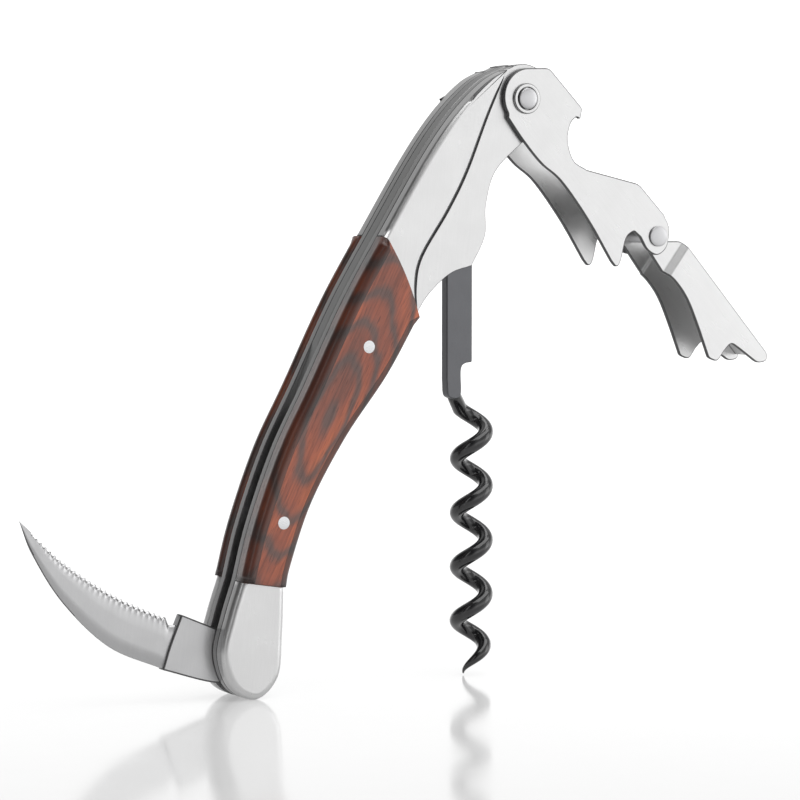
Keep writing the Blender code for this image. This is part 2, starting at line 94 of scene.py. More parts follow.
HEAD_PIN_R = 1.75
LEVER_PIN_R = 1.20
LEVER_PIN_HEAD_R = 1.75
INNER_PIN_R = 1.50
SCALE_PIN_R = 1.45
WASHER_R = 2.55
WASHER_BORE_R = HEAD_PIN_R + 0.12
WASHER_IN = LEVER_OUT + 0.05
WASHER_OUT = LEVER_OUT + 0.45
RIVET_DOME = 0.10           # rise of a rivet's dome
HEAD_PIN_TOP = 5.62
HEAD_PIN_DOME = 0.22
LEVER_PIN_TOP = 5.15
LEVER_PIN_DOME = 0.15
LEVER_PIN_HEAD_LOW = 4.75   # underside of its head, in the cheek

EDGE = 0.12                 # broken edges of steel pieces
LEVER_EDGE = 0.18
SHANK_EDGE = 0.22
TANG_EDGE = 0.26
TIP_CURVE = 0.8             # cut back from the corners of the lever's outlines
WOOD_CROWN = 1.7
BUTT_CROWN = 1.3
SHOULDER_CROWN = 1.0
TIP_TAPER = 0.06            # rounding over distance from a pointed corner
CROWN_MOST = 2.0            # roundings from CROWN_FROM to here keep the piece's material, unless dark_crown paints them with the trim's shade
CROWN_FROM = 0.5
WALL_AREA = 8.0             # a sheet's wall faces are smaller than this, in square mm,
WALL_TILT = 0.3             # and the y of their normals is less than this
ROUND_ANGLE = 80.0          # turned pieces and the wire bevel only edges sharper than this
FOLD_ANGLE = 48.0           # so that the joggle's folds stay soft
LEAF_ANGLE = 88.0           # so that the knife's hollow faces stay soft

WORM_AXIS_X = 1.2
WORM_PITCH = 9.2
WORM_COIL_R = 2.4
WORM_WIRE_R = 1.28
WORM_PHASE = 154.0
WORM_TOP = 45.0
TURN_STEPS = 72
POINT_R = 0.10              # wire at the point, as a share of its full radius
POINT_TURNS = 0.60          # turns over which the wire grows by one full radius
POINT_COIL = 0.55           # coil at the point, as a share of its full radius
COIL_GROWTH = 0.7           # share of the coil's radius gained in one turn
NECK_THINNER = 0.12
NECK_FLATTER = 0.30
NECK_PACE = 2.4             # how many times sooner than its end the neck is fully flat

# ---------------------------------------------------------------- outlines (mm, x and z)
SPINE = [(-44.9, 19.4), (-42.4, 28.4), (-37.8, 40.2), (-32.3, 50.5), (-25.1, 64.2),
         (-17.6, 76.2), (-9.9, 88.0), (-4.2, 95.2), (1.6, 100.4), (7.0, 102.9)]
HEAD_R = 5.8
HEAD_BELLY = [(13.1, 93.4), (8.9, 90.2), (3.6, 85.4), (1.7, 79.8), (1.5, 74.6), (-1.1, 69.6)]
RELIEF = [(-1.1, 69.6), (-5.3, 68.3), (-9.4, 65.0), (-12.3, 61.0)]
BELLY = [(-12.3, 61.0), (-18.1, 51.8), (-25.8, 42.0), (-32.2, 31.6), (-36.0, 21.8), (-36.9, 18.0)]
BUTT = [(-36.9, 18.0), (-37.2, 10.2), (-38.0, 3.4), (-41.9, 0.0), (-46.4, 2.1),
        (-48.3, 7.6), (-46.9, 13.6), (-44.9, 19.4)]
STEP_LINE = [(5.0, 102.2), (1.2, 94.6), (-2.9, 85.2), (-6.6, 78.7), (-11.6, 71.2),
             (-12.7, 66.2), (-12.3, 61.0)]
BOLSTER_JOINT = [(-18.6, 74.7), (-15.9, 70.0), (-13.9, 65.6), (-12.3, 61.0)]
JOINT_GAP = 0.08
BELLY_GAP = 0.3             # the wood's front edge leaves out points this near its lower end
STEP_GROOVE = 0.95          # width of the groove at the foot of the shoulder
STEP_EDGE = 0.30
GROOVE_BED = 0.3            # thickness of the dark strip in the groove, painted shade on its floor

SPRING_INNER = [(4.2, 94.0), (0.2, 89.4), (-4.6, 82.6), (-7.2, 76.4), (-8.8, 70.2),
                (-11.0, 65.0), (-13.6, 60.4), (-18.9, 51.8), (-26.5, 42.0), (-33.0, 31.5),
                (-36.5, 21.8), (-37.2, 17.0), (-37.4, 12.2)]
SPRING_POCKET = [(-39.1, 12.4), (-38.7, 16.0), (-38.0, 20.5), (-36.9, 24.5), (-36.0, 28.5),
                 (-34.6, 34.0), (-33.6, 41.0), (-32.0, 49.0), (-29.3, 55.8)]
SPRING_LOW = 57.4           # where the spring's back leaves the spine
SPRING_HIGH = 102.95
SPRING_INSET = 0.3          # its nose inside the head's round

# lever outlines are measured from their own pins
UPPER_END = (0.6, 0.2)
UPPER_END_R = 4.9
UPPER_LOW = [(-3.7, -3.0), (-0.6, -6.9), (3.1, -10.8), (7.2, -13.9), (12.6, -20.4), (17.4, -27.5)]
UPPER_FOOT = [(17.4, -27.5), (18.4, -28.4), (19.3, -27.5), (20.4, -23.6), (22.0, -22.3)]
UPPER_BOSS = [(23.4, -23.4), (24.9, -25.6), (27.0, -26.5), (28.9, -25.1), (29.4, -22.0),
              (28.3, -19.6)]
UPPER_TOP = [(23.0, -14.3), (12.3, -11.9)]
OPENER = [(12.3, -11.9), (9.6, -10.3), (8.4, -7.0), (8.9, -4.2), (10.1, -2.9)]
HOOK = [(10.9, -3.4), (11.3, -1.5)]
WEB_A = [(4.6, 5.2), (11.3, -1.5)]
WEB_B = [(23.0, -14.3), (28.3, -19.6)]

TAB_R = 2.6
JOGGLE = [(5.6, -0.9), (1.6, -6.1)]
JOGGLE_BAND = 1.6
JOGGLE_CUTS = 8
WEB_PAST_JOGGLE = 1.1       # the lower web starts this many bands from the joggle
WEB_LAP = 0.03              # how far a web reaches into each cheek
LOWER_BACK = [(5.6, -0.9), (23.8, -21.0)]
LOWER_TOE = [(23.8, -21.0), (23.6, -22.3), (21.6, -22.6), (17.6, -19.9), (15.8, -18.8),
             (14.3, -20.2), (12.9, -22.1), (11.0, -21.4)]
LOWER_INNER = [(11.0, -21.4), (8.5, -15.4), (6.3, -10.9), (3.9, -7.9), (1.6, -6.1)]

BLADE_BACK = [(-56.7, 5.6), (-66.1, 9.9), (-73.9, 17.4), (-78.9, 25.2), (-81.2, 30.8)]
BLADE_EDGE = [(-56.2, 13.9), (-65.2, 18.2), (-73.8, 24.0), (-81.2, 30.8)]
BLADE_NOTCH = [(-54.4, 12.6), (-55.7, 12.6), (-56.2, 13.9)]
TANG_STEP = [(-53.7, 14.3), (-55.8, 9.4), (-57.1, 5.6)]
TANG_TOP = [(-53.7, 14.3), (-48.9, 12.2), (-44.5, 10.2)]
TANG_R = 4.6
TANG_LOW = [(-43.5, 2.6), (-48.5, 2.9), (-57.1, 5.6)]
TOOTH_PITCH = 1.05
TOOTH_DEPTH = 0.38
TOOTHED = (0.3, 27.6)       # along the edge from the notch
NOTCH_STEPS = 16
EDGE_STEPS = 420
SECTION = [(0.0, 0.12), (0.012, 0.34), (0.035, BLADE_HALF), (0.30, BLADE_HALF),
           (0.60, BLADE_HALF), (0.82, BLADE_HALF), (0.94, 0.26), (1.0, 0.06)]
TOOTHED_SHARE = 0.9         # past this share of the section the points follow the teeth
POINT_THIN = 0.15           # thickness at the knife's point, as a share,
POINT_REACH = 2.5           # which grows by one over this width of the leaf

SHANK_HALF_WIDTH = 2.48
SHANK_FOOT = [(-4.18, 50.5), (-3.8, 47.6), (-1.5, 47.6), (-1.4, 51.8), (-0.8, 53.0), (0.78, 53.3)]
NECK = [(-2.45, 0.15, 48.4), (-2.6, 0.0, 50.6), (-2.5, 0.0, 53.0)]


# ---------------------------------------------------------------- curves and lists of points
SAME_POINT = 0.05           # points of an outline nearer than this are one
LEAST_SPAN = 0.1            # shortest span left between a rounded outline's points
CUT_SHARE = 0.45            # most of a span that one rounded corner takes
ON_CURVE = 0.06             # a point this near a curve counts as on it


def smooth(points, steps=8):
    """A Catmull-Rom curve through the points, each span cut into equal steps."""
    ends = [tuple(2 * a - b for a, b in zip(points[0], points[1]))]
    ends += list(points)
    ends.append(tuple(2 * a - b for a, b in zip(points[-1], points[-2])))
    curve = []
    for i in range(1, len(ends) - 2):
        p0, p1, p2, p3 = (Vector(p) for p in ends[i - 1:i + 3])
        for k in range(steps):
            t = k / steps
            q = (p1 * 2 + (p2 - p0) * t + (p0 * 2 - p1 * 5 + p2 * 4 - p3) * t ** 2
                 + (p1 * 3 - p0 - p2 * 3 + p3) * t ** 3) * 0.5
            curve.append(tuple(q))
    curve.append(tuple(points[-1]))
    return curve


def arc(centre, radius, start, end, count):
    """Points on an arc, angles in degrees from +X towards +Z."""
    angles = [math.radians(start + (end - start) * k / count) for k in range(count + 1)]
    return [(centre[0] + radius * math.cos(a), centre[1] + radius * math.sin(a)) for a in angles]


def joined(*runs):
    """One closed outline from several runs, each shared end point kept once."""
    outline = []
    for run in runs:
        for point in run:
            if not outline or math.dist(point, outline[-1]) > SAME_POINT:
                outline.append(point)
    if math.dist(outline[0], outline[-1]) < SAME_POINT:
        outline.pop()
    return outline


def shifted(points, by):
    return [(x + by[0], z + by[1]) for x, z in points]


def offset_segment(segment, distance):
    """The segment moved sideways, towards its left when distance is positive."""
    a, b = (Vector(p) for p in segment)
    side = Vector((a.y - b.y, b.x - a.x)).normalized() * distance
    return [tuple(a + side), tuple(b + side)]


def part_of(curve, low, high):
    """The run of a curve whose heights lie between two limits, cut exactly there."""
    run = []
    for a, b in zip(curve, curve[1:]):
        for t in sorted((low, high), key=lambda h: abs(h - a[1])):
            if min(a[1], b[1]) < t < max(a[1], b[1]):
                k = (t - a[1]) / (b[1] - a[1])
                run.append((a[0] + (b[0] - a[0]) * k, t))
        if low <= b[1] <= high:
            run.append(b)
    return run


def rounded(outline, radius, least=24.0, steps=5):
    """The closed outline with each corner sharper than the least angle replaced by a small curve."""
    made = []
    count = len(outline)
    for k in range(count):
        before, here, after = (Vector(outline[(k + n) % count]) for n in (-1, 0, 1))
        if (here - before).angle(after - here) < math.radians(least):
            made.append(tuple(here))
            continue
        a = here + (before - here).normalized() * min(radius, (before - here).length * CUT_SHARE)
        b = here + (after - here).normalized() * min(radius, (after - here).length * CUT_SHARE)
        for n in range(steps + 1):
            t = n / steps
            made.append(tuple(a * (1 - t) ** 2 + here * 2 * t * (1 - t) + b * t ** 2))
    return joined([p for k, p in enumerate(made)
                   if k == 0 or math.dist(p, made[k - 1]) > LEAST_SPAN])


def resampled(curve, count):
    """Points at equal steps of length along a polyline."""
    lengths = [0.0]
    for a, b in zip(curve, curve[1:]):
        lengths.append(lengths[-1] + math.dist(a, b))
    points = []
    span = 0
    for k in range(count + 1):
        target = lengths[-1] * k / count
        while span < len(curve) - 2 and lengths[span + 1] < target:
            span += 1
        t = (target - lengths[span]) / (lengths[span + 1] - lengths[span])
        a, b = Vector(curve[span]), Vector(curve[span + 1])
        points.append(tuple(a + (b - a) * t))
    return points


def distance_to(segment, point):
    a, b = (Vector(p) for p in segment)
    t = max(0.0, min(1.0, (Vector(point) - a).dot(b - a) / (b - a).length_squared))
    return (a + (b - a) * t - Vector(point)).length


def near_curve(curve, point):
    return any(distance_to(span, point) < ON_CURVE for span in zip(curve, curve[1:]))


# ---------------------------------------------------------------- solids (bmesh, mm)
def add_slab(bm, outline, inner, outer):
    """A flat plate between y = inner and y = outer, its two faces left whole."""
    near = [bm.verts.new((x, inner, z)) for x, z in outline]
    far = [bm.verts.new((x, outer, z)) for x, z in outline]
    bm.faces.new(near)
    bm.faces.new(far[::-1])
    for k in range(len(outline)):
        bm.faces.new((near[k], near[k - 1], far[k - 1], far[k]))


def slab(outline, inner, outer):
    bm = bmesh.new()
    add_slab(bm, outline, inner, outer)
    return bm


def turned(pin, profile, sides=64):
    """A solid turned about a pin's axis; profile is (radius, y) from one end to the other."""
    bm = bmesh.new()
    rings = []
    for radius, y in profile:
        if radius == 0.0:
            rings.append([bm.verts.new((pin[0], y, pin[1]))])
        else:
            rings.append([bm.verts.new((x, y, z))
                          for x, z in arc(pin, radius, 0, 360 - 360 / sides, sides - 1)])
    for a, b in zip(rings, rings[1:]):
        for k in range(sides):
            corners = [a[k % len(a)], a[(k + 1) % sides % len(a)],
                       b[(k + 1) % sides % len(b)], b[k % len(b)]]
            unique = [v for n, v in enumerate(corners) if v not in corners[:n]]
            if len(unique) > 2:
                bm.faces.new(unique)
    bmesh.ops.remove_doubles(bm, verts=bm.verts, dist=1e-5)
    return bm


def add_tube(bm, path, radii, flatness, sides=32):
    """A closed tube along a path of 3-D points, with a radius and a squeeze in y for each."""
    points = [Vector(p) for p in path]
    rings = []
    side = Vector((0.0, 1.0, 0.0))
    for k, point in enumerate(points):
        along = (points[min(k + 1, len(points) - 1)] - points[max(k - 1, 0)]).normalized()
        side = (side - along * side.dot(along)).normalized()
        other = along.cross(side)
        corners = []
        for n in range(sides):
            a = 2 * math.pi * n / sides
            corner = (side * math.cos(a) + other * math.sin(a)) * radii[k]
            corner.y *= flatness[k]
            corners.append(bm.verts.new(point + corner))
        rings.append(corners)
    for a, b in zip(rings, rings[1:]):
        for k in range(sides):
            bm.faces.new((a[k - 1], a[k], b[k], b[k - 1]))
    bm.faces.new(rings[0])
    bm.faces.new(rings[-1])


# ---------------------------------------------------------------- pieces
def even(width):
    """The same rounding for every sharp edge."""
    return lambda a, b: width


def piece(name, bm, material, body, nodes, width_at=None, trim=None, angle=32.0,
          walls=False, dark_crown=False):
    """Makes the bmesh an object of the frame; width_at gives each sharp edge's rounding in mm.

    Wide roundings keep the piece's material unless dark_crown is set. Fine ones, and a sheet's
    narrow walls if asked, take the trim material, a darker copy that paints shade on them."""
    bmesh.ops.recalc_face_normals(bm, faces=bm.faces)
    width_at = width_at or even(EDGE)
    layers = {kind: bm.edges.layers.float.new(kind) for kind in ("crown", "fine")}
    widths = {}
    for edge in bm.edges:
        if edge.calc_face_angle(0.0) > math.radians(angle):
            widths[edge] = width_at(*(v.co.copy() for v in edge.verts))
    for edge, width in widths.items():
        if width > CROWN_FROM:
            edge[layers["crown"]] = width / CROWN_MOST
        else:
            edge[layers["fine"]] = width / CROWN_FROM
    bmesh.ops.scale(bm, vec=(MM, MM, MM), verts=bm.verts)
    bmesh.ops.translate(bm, vec=ORIGIN, verts=bm.verts)
    mesh = bpy.data.meshes.new(name)
    bm.to_mesh(mesh)
    bm.free()
    mesh.shade_smooth()
    mesh.materials.append(material)
    item = bpy.data.objects.new(name, mesh)
    bpy.context.scene.collection.objects.link(item)
    for kind, width, segments in (("crown", CROWN_MOST, 8), ("fine", CROWN_FROM, 3)):
        bevel = item.modifiers.new(kind, "BEVEL")
        bevel.limit_method = "WEIGHT"
        bevel.edge_weight = kind
        bevel.width = width * MM
        bevel.segments = segments
        bevel.miter_outer = "MITER_ARC"
        bevel.use_clamp_overlap = False
    # The trim paints shade: on fine roundings, on wide ones with dark_crown, and on narrow walls.
    if trim is not None:
        mesh.materials.append(trim)
        item.modifiers["fine"].material = 1
        item.modifiers["crown"].material = 1 if dark_crown else -1
        for face in mesh.polygons:
            if walls and abs(face.normal.y) < WALL_TILT and face.area < WALL_AREA * MM * MM:
                face.material_index = 1
    normals = item.modifiers.new("normals", "WEIGHTED_NORMAL")
    normals.keep_sharp = True
    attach(item, body)
    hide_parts(*nodes)


def rim_width(y, crown, curves, other=0.0, tips=()):
    """Rounds the rim at one y by crown along the given curves, less towards pointed tips."""
    def width(a, b):
        at_rim = abs(a.y - y) < 1e-3 and abs(b.y - y) < 1e-3
        middle = ((a.x + b.x) / 2, (a.z + b.z) / 2)
        most = min([TIP_TAPER * math.dist(middle, tip) for tip in tips] + [crown])
        if at_rim and any(near_curve(c, middle) for c in curves):
            return most
        return min(other, most)
    return width


# ---------------------------------------------------------------- materials
NOISE_ROUGHNESS = 0.55
WOOD_GRAIN = 63.0           # degrees above +X
WOOD_CENTRE = (-30.0, 0.0, 44.7)
RING_STRETCH = (1.0 / 0.0109, 1.0 / 0.016, 1.0 / 0.0036)  # one over an oval's half lengths, m
RING_STEP = 0.60
RING_START = 0.07


class Tree:
    """A material's node tree with short ways to add and join nodes."""

    def __init__(self, name):
        self.material = bpy.data.materials.new(name)
        self.material.use_nodes = True
        self.nodes = self.material.node_tree.nodes
        self.links = self.material.node_tree.links
        self.shader = self.nodes["Principled BSDF"]
        self.position = self.nodes.new("ShaderNodeTexCoord").outputs["Object"]

    def join(self, value, socket):
        if isinstance(value, bpy.types.NodeSocket):
            self.links.new(value, socket)
        else:
            socket.default_value = value

    def math(self, operation, a, b=0.0):
        node = self.nodes.new("ShaderNodeMath")
        node.operation = operation
        for value, socket in zip((a, b), node.inputs):
            self.join(value, socket)
        return node.outputs[0]

    def turned(self, angle, scale, offset=(0.0, 0.0, 0.0)):
        """Coordinates turned about Y so that local X runs at an angle above +X, then scaled."""
        spin = self.nodes.new("ShaderNodeVectorRotate")
        spin.rotation_type = "Y_AXIS"
        self.links.new(self.position, spin.inputs["Vector"])
        spin.inputs["Center"].default_value = offset
        spin.inputs["Angle"].default_value = math.radians(angle)
        move = self.nodes.new("ShaderNodeMapping")
        move.inputs["Location"].default_value = tuple(-o * s for o, s in zip(offset, scale))
        move.inputs["Scale"].default_value = scale
        self.links.new(spin.outputs[0], move.inputs["Vector"])
        return move.outputs[0]

    def noise(self, vector, scale=1.0, detail=3.0, seed=0.0):
        node = self.nodes.new("ShaderNodeTexNoise")
        node.noise_dimensions = "4D"
        node.inputs["W"].default_value = seed
        node.inputs["Scale"].default_value = scale
        node.inputs["Detail"].default_value = detail
        node.inputs["Roughness"].default_value = NOISE_ROUGHNESS
        self.links.new(vector, node.inputs["Vector"])
        return node.outputs["Fac"]

    def ranged(self, value, low, high, to_low, to_high):
        node = self.nodes.new("ShaderNodeMapRange")
        self.join(value, node.inputs["Value"])
        for name, number in (("From Min", low), ("From Max", high), ("To Min", to_low),
                             ("To Max", to_high)):
            node.inputs[name].default_value = number
        return node.outputs["Result"]

    def ramp(self, value, stops):
        node = self.nodes.new("ShaderNodeValToRGB")
        while len(node.color_ramp.elements) < len(stops):
            node.color_ramp.elements.new(0.5)
        for element, (position, colour) in zip(node.color_ramp.elements, stops):
            element.position = position
            element.color = (*colour, 1.0)
        self.join(value, node.inputs["Fac"])
        return node.outputs["Color"]

    def mix(self, factor, a, b, blend="MIX"):
        node = self.nodes.new("ShaderNodeMix")
        node.data_type = "RGBA"
        node.blend_type = blend
        self.join(factor, node.inputs["Factor"])
        for value, name in ((a, "A"), (b, "B")):
            socket = next(s for s in node.inputs if s.name == name and s.type == "RGBA")
            self.join(value if isinstance(value, bpy.types.NodeSocket) else (*value, 1.0), socket)
        return next(s for s in node.outputs if s.type == "RGBA")

    def bump(self, height, depth, strength=1.0):
        """Bump of a real depth in millimetres."""
        node = self.nodes.new("ShaderNodeBump")
        node.inputs["Strength"].default_value = strength
        node.inputs["Distance"].default_value = depth * MM
        self.links.new(height, node.inputs["Height"])
        self.links.new(node.outputs["Normal"], self.shader.inputs["Normal"])

    def finish(self, colour, roughness, metallic):
        self.join(colour, self.shader.inputs["Base Color"])
        self.join(roughness, self.shader.inputs["Roughness"])
        self.shader.inputs["Metallic"].default_value = metallic
        return self.material


def brushed_metal(name, colour, rough, angle, seed, depth=0.004):
    """Satin metal: fine straight brush marks, faint handling smears and a few scratches."""
    tree = Tree(name)
    fine = tree.noise(tree.turned(angle, (260.0, 9000.0, 9000.0)), seed=seed, detail=2.0)
    coarse = tree.noise(tree.turned(angle, (90.0, 2600.0, 2600.0)), seed=seed + 3.0, detail=2.0)
    smear = tree.noise(tree.position, scale=260.0, seed=seed + 7.0, detail=2.0)
    scratch = tree.noise(tree.turned(angle + 24.0, (140.0, 5200.0, 5200.0)), seed=seed + 11.0)
    nicked = tree.ranged(scratch, 0.72, 0.78, 0.0, 1.0)
    marks = tree.math("ADD", tree.math("MULTIPLY", fine, 0.6), tree.math("MULTIPLY", coarse, 0.4))
    shade = tree.ramp(tree.ranged(marks, 0.3, 0.7, 0.0, 1.0),
                      [(0.0, tuple(c * 0.93 for c in colour)), (1.0, colour)])
    shade = tree.mix(tree.math("MULTIPLY", nicked, 0.25), shade, tuple(c * 0.7 for c in colour))
    roughness = tree.math("ADD", tree.ranged(marks, 0.3, 0.7, rough - 0.05, rough + 0.05),
                          tree.ranged(smear, 0.3, 0.7, -0.04, 0.04))
    tree.bump(tree.math("SUBTRACT", marks, tree.math("MULTIPLY", nicked, 0.3)), depth, 0.6)
    return tree.finish(shade, roughness, 1.0)


def pakkawood(name, light):
    """Red-brown laminated wood: grey-brown growth rings in long ovals, fine pores, thin lacquer."""
    tree = Tree(name)
    centre = ORIGIN + Vector(WOOD_CENTRE) * MM
    grain = WOOD_GRAIN
    warp = tree.noise(tree.turned(grain, (60.0, 170.0, 170.0)), seed=2.0, detail=3.0)
    local = tree.turned(grain, RING_STRETCH, tuple(centre))
    spread = tree.nodes.new("ShaderNodeVectorMath")
    spread.operation = "LENGTH"
    tree.links.new(local, spread.inputs[0])
    radius = tree.math("ADD", spread.outputs["Value"], tree.ranged(warp, 0.2, 0.8, -0.28, 0.28))
    phase = tree.math("FRACT", tree.math("ADD", tree.math("DIVIDE", radius, RING_STEP), RING_START))
    ring = tree.ramp(phase, [(0.0, (0.12,) * 3), (0.30, (0.0,) * 3), (0.50, (0.25,) * 3),
                             (0.66, (0.95,) * 3), (0.78, (1.0,) * 3), (1.0, (0.12,) * 3)])
    streak = tree.noise(tree.turned(grain, (110.0, 2400.0, 2400.0)), seed=5.0, detail=3.0)
    hue = tree.noise(tree.turned(grain, (34.0, 190.0, 190.0)), seed=9.0, detail=2.0)
    red = tree.ramp(tree.ranged(hue, 0.36, 0.64, 0.0, 1.0),
                    [(0.0, (0.150, 0.040, 0.022)), (0.45, (0.250, 0.058, 0.026)),
                     (1.0, (0.370, 0.088, 0.030))])
    shade = tree.mix(tree.math("MULTIPLY", ring, 0.86), red, (0.070, 0.045, 0.040))
    tint = tree.ramp(tree.ranged(streak, 0.3, 0.7, 0.0, 1.0),
                     [(0.0, (0.60, 0.58, 0.58)), (0.5, (0.95, 0.95, 0.95)), (1.0, (1.25, 1.18, 1.1))])
    shade = tree.mix(1.0, shade, tint, "MULTIPLY")
    pore = tree.noise(tree.turned(grain - 2.0, (420.0, 6200.0, 6200.0)), seed=13.0, detail=1.0)
    pores = tree.ranged(pore, 0.60, 0.70, 0.0, 1.0)
    shade = tree.mix(tree.math("MULTIPLY", pores, 0.55), shade, (0.030, 0.012, 0.010))
    shade = tree.mix(1.0, shade, (light,) * 3, "MULTIPLY")
    roughness = tree.math("ADD", tree.ranged(streak, 0.3, 0.7, 0.44, 0.34),
                          tree.math("MULTIPLY", pores, 0.2))
    tree.bump(tree.math("SUBTRACT", tree.math("MULTIPLY", streak, 0.4), pores), 0.02, 0.5)
    tree.shader.inputs["Coat Weight"].default_value = 0.5
    tree.shader.inputs["Coat Roughness"].default_value = 0.22
    return tree.finish(shade, roughness, 0.0)


def black_coating():
    """Glossy non-stick coating with a faint orange-peel and rubbed spots."""
    tree = Tree("black_coating")
    peel = tree.noise(tree.position, scale=2600.0, seed=1.0, detail=2.0)
    rub = tree.noise(tree.position, scale=420.0, seed=4.0, detail=3.0)
    shade = tree.ramp(tree.ranged(rub, 0.35, 0.75, 0.0, 1.0),
                      [(0.0, (0.006, 0.006, 0.007)), (1.0, (0.020, 0.020, 0.022))])
    roughness = tree.ranged(rub, 0.3, 0.7, 0.13, 0.24)
    tree.bump(peel, 0.006, 0.5)
    tree.shader.inputs["Coat Weight"].default_value = 0.6
    tree.shader.inputs["Coat Roughness"].default_value = 0.08
    return tree.finish(shade, roughness, 0.0)


HANDLE_STEEL = brushed_metal("handle_steel", (0.68, 0.68, 0.68), 0.33, 84.0, 0.0)
LINER_STEEL = brushed_metal("liner_steel", (0.46, 0.46, 0.46), 0.36, 66.0, 5.0)
LEVER_STEEL = brushed_metal("lever_steel", (0.68, 0.68, 0.68), 0.32, -46.0, 20.0)
BLADE_STEEL = brushed_metal("blade_steel", (0.53, 0.53, 0.535), 0.36, 82.0, 40.0)
SPRING_STEEL = brushed_metal("spring_steel", (0.40, 0.40, 0.40), 0.42, -28.0, 60.0)
SHANK_STEEL = brushed_metal("shank_steel", (0.14, 0.142, 0.15), 0.34, 88.0, 80.0)
PIN_METAL = brushed_metal("pin_metal", (0.68, 0.69, 0.70), 0.30, 15.0, 90.0, depth=0.002)
HEAD_METAL = brushed_metal("head_metal", (0.56, 0.56, 0.57), 0.38, 15.0, 95.0, depth=0.002)
# Dark steel as painted shade: on the fine edges and narrow walls of steel pieces, and on the floor of
# the bolsters' grooves.
PAINTED_SHADE_STEEL = brushed_metal("dark_steel_painted_shade", (0.13, 0.13, 0.132), 0.45, 30.0, 110.0)
WOOD = pakkawood("pakkawood", 1.45)
# A darker copy of the wood, painted shade on the scales' rounded rims and narrow walls.
WOOD_PAINTED_SHADE = pakkawood("pakkawood_painted_shade", 0.38)
COATING = black_coating()


# ---------------------------------------------------------------- handle
def head_front():
    return arc(HEAD_PIN, HEAD_R, 110, -45, 40) + smooth(HEAD_BELLY)


def build_liners():
    outline = joined(smooth(SPINE), head_front(), smooth(RELIEF), smooth(BELLY), smooth(BUTT))
    for name, side in (("liner_front", -1), ("liner_back", 1)):
        bm = slab(outline, side * SLOT_HALF, side * LINER_OUT)
        piece(name + "_sheet", bm, LINER_STEEL, "handle", [name], trim=PAINTED_SHADE_STEEL)


def build_spring():
    back = part_of(smooth(SPINE), SPRING_LOW, SPRING_HIGH)
    nose = arc(HEAD_PIN, HEAD_R - SPRING_INSET, 100, -120, 40)
    outline = joined(back, nose, smooth(SPRING_INNER), smooth(SPRING_POCKET))
    bm = slab(outline, -SPRING_HALF, SPRING_HALF)
    piece("back_spring_leaf", bm, SPRING_STEEL, "handle", ["back_spring"])


def build_scales():
    upper = [(x - JOINT_GAP, z - JOINT_GAP) for x, z in smooth(BOLSTER_JOINT)]
    back = [p for p in smooth(SPINE) if SPINE[0][1] < p[1] < upper[0][1]]
    front = [p for p in smooth(BELLY) if BELLY[-1][1] + BELLY_GAP < p[1] < upper[-1][1]]
    outline = joined([(SPINE[0][0], SPINE[0][1] + JOINT_GAP)], back, upper, front,
                     [(BELLY[-1][0], BELLY[-1][1] + JOINT_GAP)])
    for name, side in (("scale_front", -1), ("scale_back", 1)):
        outer = side * SCALE_OUT
        bm = slab(outline, side * SKIN_IN, outer)
        width = rim_width(outer, WOOD_CROWN, [smooth(SPINE), smooth(BELLY)])
        # The wood's crown roundings and narrow walls take the darker copy as painted shade.
        piece(name + "_wood", bm, WOOD, "handle", [name], width, WOOD_PAINTED_SHADE,
              walls=True, dark_crown=True)


def moved_right(line, distance):
    """A steep line moved towards +X, less towards its two ends."""
    last = len(line) - 1
    return [(x + distance * math.sin(math.pi * k / last) ** 0.15, z)
            for k, (x, z) in enumerate(line)]


def build_upper_bolsters():
    line = smooth(STEP_LINE)
    joint = smooth(BOLSTER_JOINT)
    back = [p for p in smooth(SPINE) if BOLSTER_JOINT[0][1] < p[1] < STEP_LINE[0][1]]
    crest = [p for p in smooth(SPINE) if p[1] > STEP_LINE[0][1]]
    raised = joined(joint[::-1], back, line)
    flat = joined(moved_right(line, STEP_GROOVE)[::-1], crest, head_front(), smooth(RELIEF))
    groove = joined(line[::-1], crest, head_front(), smooth(RELIEF))
    spine = smooth(SPINE)
    for name, side in (("upper_bolster_front", -1), ("upper_bolster_back", 1)):
        outer = side * BOLSTER_OUT
        head = side * HEAD_OUT
        bm = slab(flat, side * SKIN_IN, head)
        add_slab(bm, raised, side * SKIN_IN, outer)

        tips = (STEP_LINE[0], STEP_LINE[-1])
        crowned = rim_width(outer, SHOULDER_CROWN, [spine], 0.0, tips)
        stepped = rim_width(outer, STEP_EDGE, [line], EDGE, tips)
        piece(name + "_plate", bm, HANDLE_STEEL, "handle", [name],
              lambda a, b: max(crowned(a, b), stepped(a, b)), PAINTED_SHADE_STEEL)
        # A dark strip on the groove's floor: painted shadow where the raised shoulder shades it.
        bed = slab(groove, side * SKIN_IN, side * (SKIN_IN + GROOVE_BED))
        piece(name + "_groove", bed, PAINTED_SHADE_STEEL, "handle", [name])


def build_lower_bolsters():
    for name, side in (("lower_bolster_front", -1), ("lower_bolster_back", 1)):
        outer = side * BOLSTER_OUT
        bm = slab(joined(smooth(BUTT)), side * SKIN_IN, outer)
        width = rim_width(outer, BUTT_CROWN, [smooth(BUTT)], EDGE)
        piece(name + "_cap", bm, HANDLE_STEEL, "handle", [name], width)


def domed(radius, top, rise, steps=6):
    """The profile of a low dome from its crown at y = top down to its rim."""
    return [(radius * math.sin(a), top - rise * (1 - math.cos(a)))
            for a in (math.pi / 2 * k / steps for k in range(steps + 1))]


def both_ends(half):
    return [(r, -y) for r, y in half] + half[::-1]


